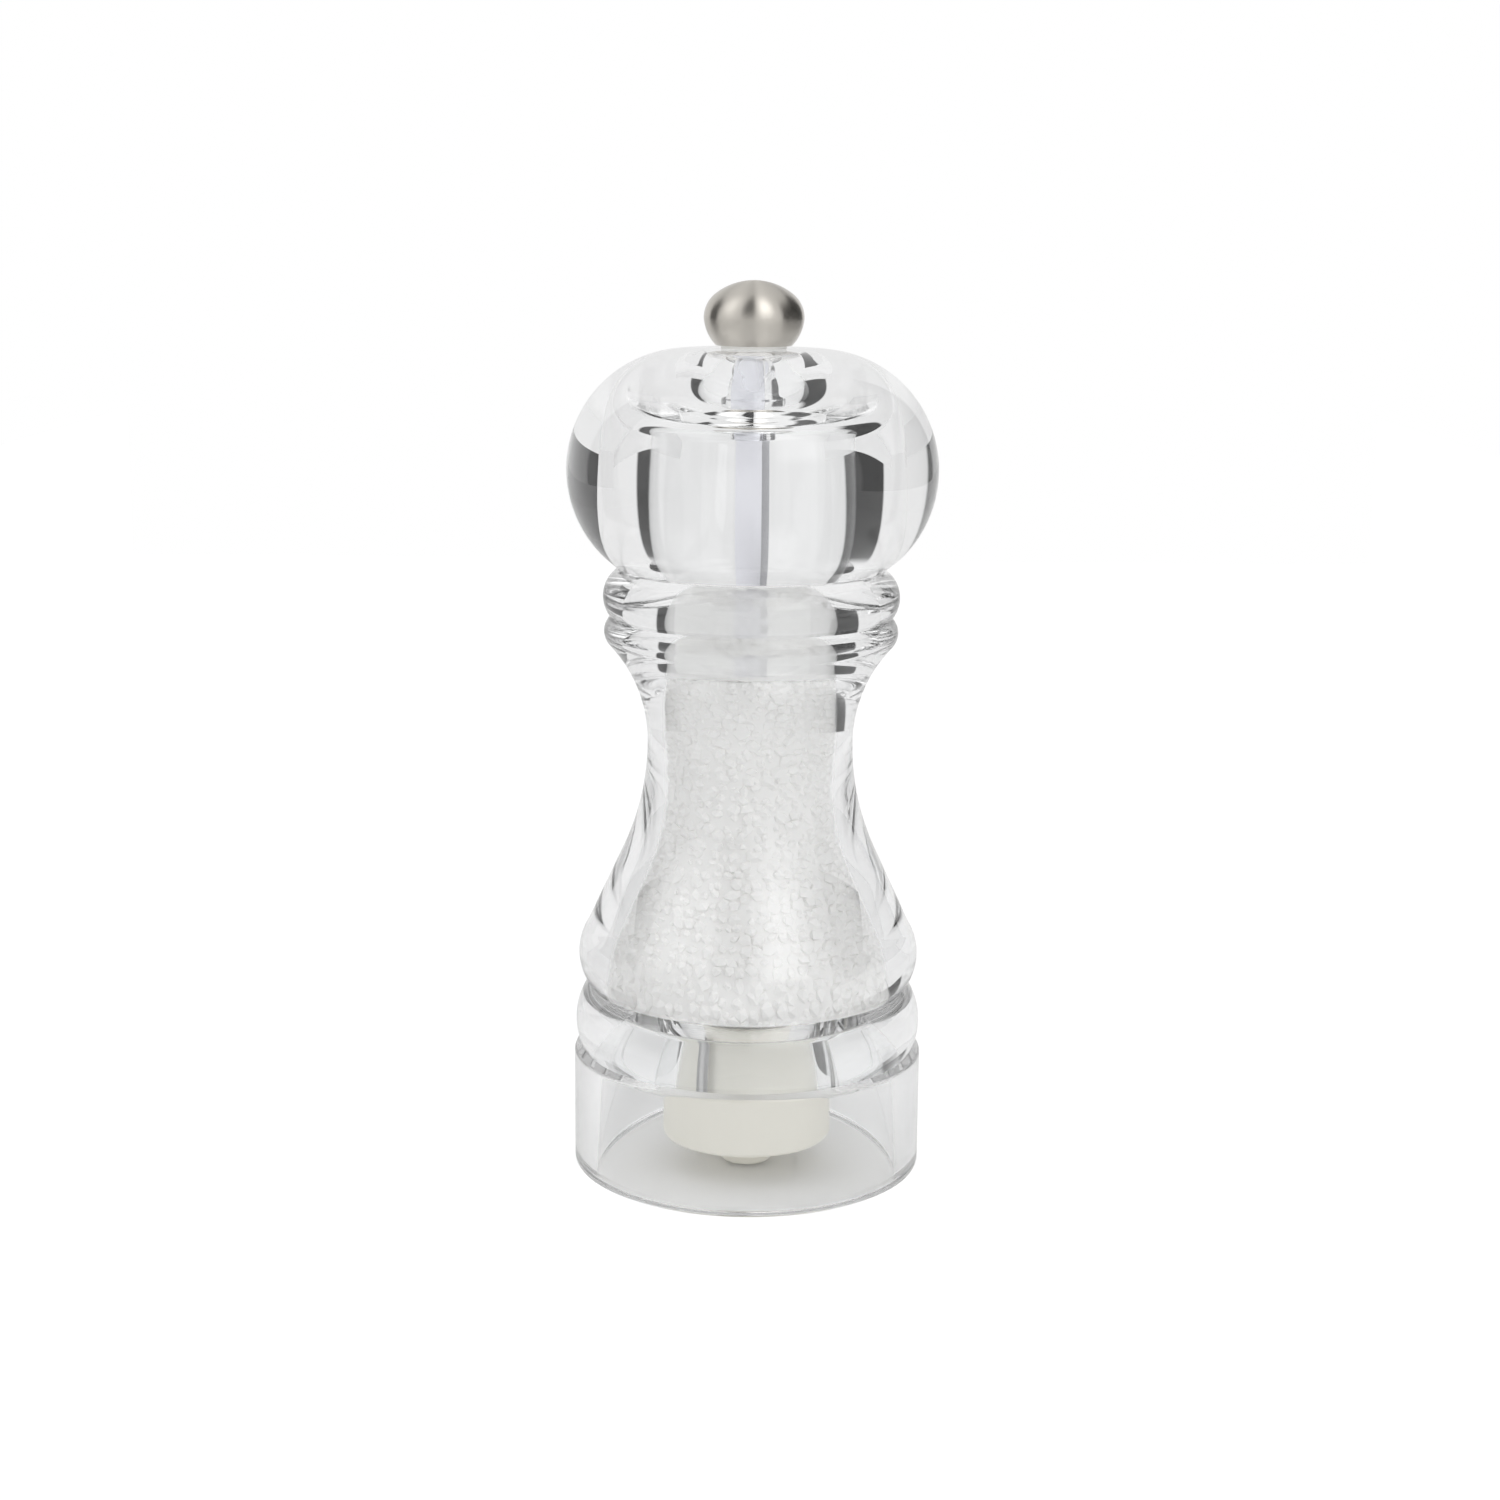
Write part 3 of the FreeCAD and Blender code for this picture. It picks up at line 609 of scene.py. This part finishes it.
def floorMaterial():
    # white to the camera, less so through the acrylic and not under the mill; plain diffuse otherwise
    f = floorForm
    material, shader = newMaterial("whiteFloor")
    tree = material.node_tree
    tree.nodes.remove(shader)
    diffuse = tree.nodes.new("ShaderNodeBsdfDiffuse")
    diffuse.inputs["Color"].default_value = (f["shade"], f["shade"], f["shade"], 1)
    glow = tree.nodes.new("ShaderNodeEmission")
    glow.inputs["Strength"].default_value = f["white"]
    place = tree.nodes.new("ShaderNodeTexCoord")
    reach = tree.nodes.new("ShaderNodeVectorMath")
    reach.operation = "LENGTH"
    tree.links.new(place.outputs["Object"], reach.inputs[0])
    beyond = mathNode(tree, "SUBTRACT", reach.outputs["Value"], f["near"])
    away = clamped(tree, mathNode(tree, "MULTIPLY", beyond, 1 / f["fade"]), f["through"])
    path = tree.nodes.new("ShaderNodeLightPath")
    through = mathNode(tree, "MULTIPLY", path.outputs["Is Transmission Ray"], away)
    seen = mathNode(tree, "MAXIMUM", path.outputs["Is Camera Ray"], through)
    mix = tree.nodes.new("ShaderNodeMixShader")
    tree.links.new(mathNode(tree, "MULTIPLY", seen, f["glow"]), mix.inputs[0])
    tree.links.new(diffuse.outputs[0], mix.inputs[1])
    tree.links.new(glow.outputs[0], mix.inputs[2])
    tree.links.new(mix.outputs[0], tree.nodes["Material Output"].inputs["Surface"])
    return material


def makeFloor():
    # a wide U drawn from front to back
    f = floorForm
    section = [(-f["half"], f["side"]), (-f["half"], 0), (f["half"], 0), (f["half"], f["side"])]
    verts = [(x, y, z) for y in (f["front"], f["back"]) for x, z in section]
    count = len(section)
    faces = [(k, k + 1, k + 1 + count, k + count) for k in range(count - 1)]
    floor = putMesh("whiteFloor", verts, faces, floorMaterial())


makeFloor()

# panels of the room, each laid over those before it: turn in degrees from the back, positive to the right,
# sine of the elevation, brightness, and the widths of their soft edges in degrees and in sine
roomForm = {
    "plain": 0.82,
    "panels": [
        {"turn": (95, 195), "sine": (-0.3, 1.7), "level": 0.92, "soft": (35, 0.5)},  # front
        {"turn": (-195, -95), "sine": (-0.1, 1.7), "level": 0.92, "soft": (35, 0.5)},
        {"turn": (33, 112), "sine": (-2.0, 0.7), "level": 0.04, "soft": (3, 0.1)},  # dark sides
        {"turn": (-88, -57), "sine": (-2.0, 0.7), "level": 0.04, "soft": (3, 0.1)},
        {"turn": (126, 172), "sine": (0.25, 1.0), "level": 2.4, "soft": (14, 0.15)},  # bright strips
        {"turn": (-134, -91), "sine": (0.25, 1.0), "level": 1.7, "soft": (14, 0.15)},
        {"turn": (176, 200), "sine": (0.1, 1.2), "level": 0.06, "soft": (4, 0.2)},  # dark centre
        {"turn": (-200, -146), "sine": (0.1, 1.2), "level": 0.06, "soft": (8, 0.2)},
    ],
}


def makeRoom():
    # each panel mixes its level in: light + cover (level - light); the camera sees white
    world = bpy.data.worlds.new("whiteRoom")
    scene.world = world
    world.use_nodes = True
    tree = world.node_tree
    place = tree.nodes.new("ShaderNodeTexCoord")
    split = tree.nodes.new("ShaderNodeSeparateXYZ")
    tree.links.new(place.outputs["Generated"], split.inputs[0])
    turn = mathNode(tree, "ARCTAN2", split.outputs["X"], split.outputs["Y"])
    turn = mathNode(tree, "MULTIPLY", turn, 180 / math.pi)

    def band(x, low, high, soft):
        # ramps up over the soft width after low, and down before high
        up = mathNode(tree, "MULTIPLY", mathNode(tree, "SUBTRACT", x, low), 1 / soft)
        down = mathNode(tree, "MULTIPLY", mathNode(tree, "SUBTRACT", high, x), 1 / soft)
        return clamped(tree, mathNode(tree, "MINIMUM", up, down), 1.0)

    light = roomForm["plain"]
    for panel in roomForm["panels"]:
        softTurn, softSine = panel["soft"]
        across = band(turn, *panel["turn"], softTurn)
        upward = band(split.outputs["Z"], *panel["sine"], softSine)
        cover = mathNode(tree, "MULTIPLY", across, upward)
        change = mathNode(tree, "MULTIPLY", cover, mathNode(tree, "SUBTRACT", panel["level"], light))
        light = mathNode(tree, "ADD", light, change)
    path = tree.nodes.new("ShaderNodeLightPath")
    light = mathNode(tree, "MAXIMUM", light, path.outputs["Is Camera Ray"])
    tree.links.new(light, tree.nodes["Background"].inputs["Strength"])
    tree.nodes["Background"].inputs["Color"].default_value = (1, 1, 1, 1)


makeRoom()
print("floor and room made")

# camera, fitted to the photograph's outline; the focal length is in the photograph's pixels
viewForm = {
    "place": (0, -0.420, 0.15931), "down": 11.726, "roll": 0.55,
    "focal": 2533.1, "photoWidth": 1500, "sensor": 36, "nearest": 0.01,
}


def makeCamera():
    # tilted down from level, then rolled about its own axis
    f = viewForm
    lens = bpy.data.cameras.new("viewer")
    lens.sensor_width = f["sensor"]
    lens.lens = f["focal"] / f["photoWidth"] * f["sensor"]
    lens.clip_start = f["nearest"]
    viewer = bpy.data.objects.new("viewer", lens)
    scene.collection.objects.link(viewer)
    scene.camera = viewer
    viewer.location = f["place"]
    viewer.rotation_euler = (math.radians(90 - f["down"]), 0, 0)
    bpy.context.view_layer.update()
    viewer.matrix_world = viewer.matrix_world @ Matrix.Rotation(math.radians(f["roll"]), 4, "Z")


makeCamera()
scene.view_settings.view_transform = "Standard"
scene.cycles.max_bounces = 24  # many clear walls to pass
scene.cycles.diffuse_bounces = 8
scene.cycles.glossy_bounces = 12
scene.cycles.transmission_bounces = 24
scene.cycles.blur_glossy = 0.0  # a filter would darken what is behind the acrylic
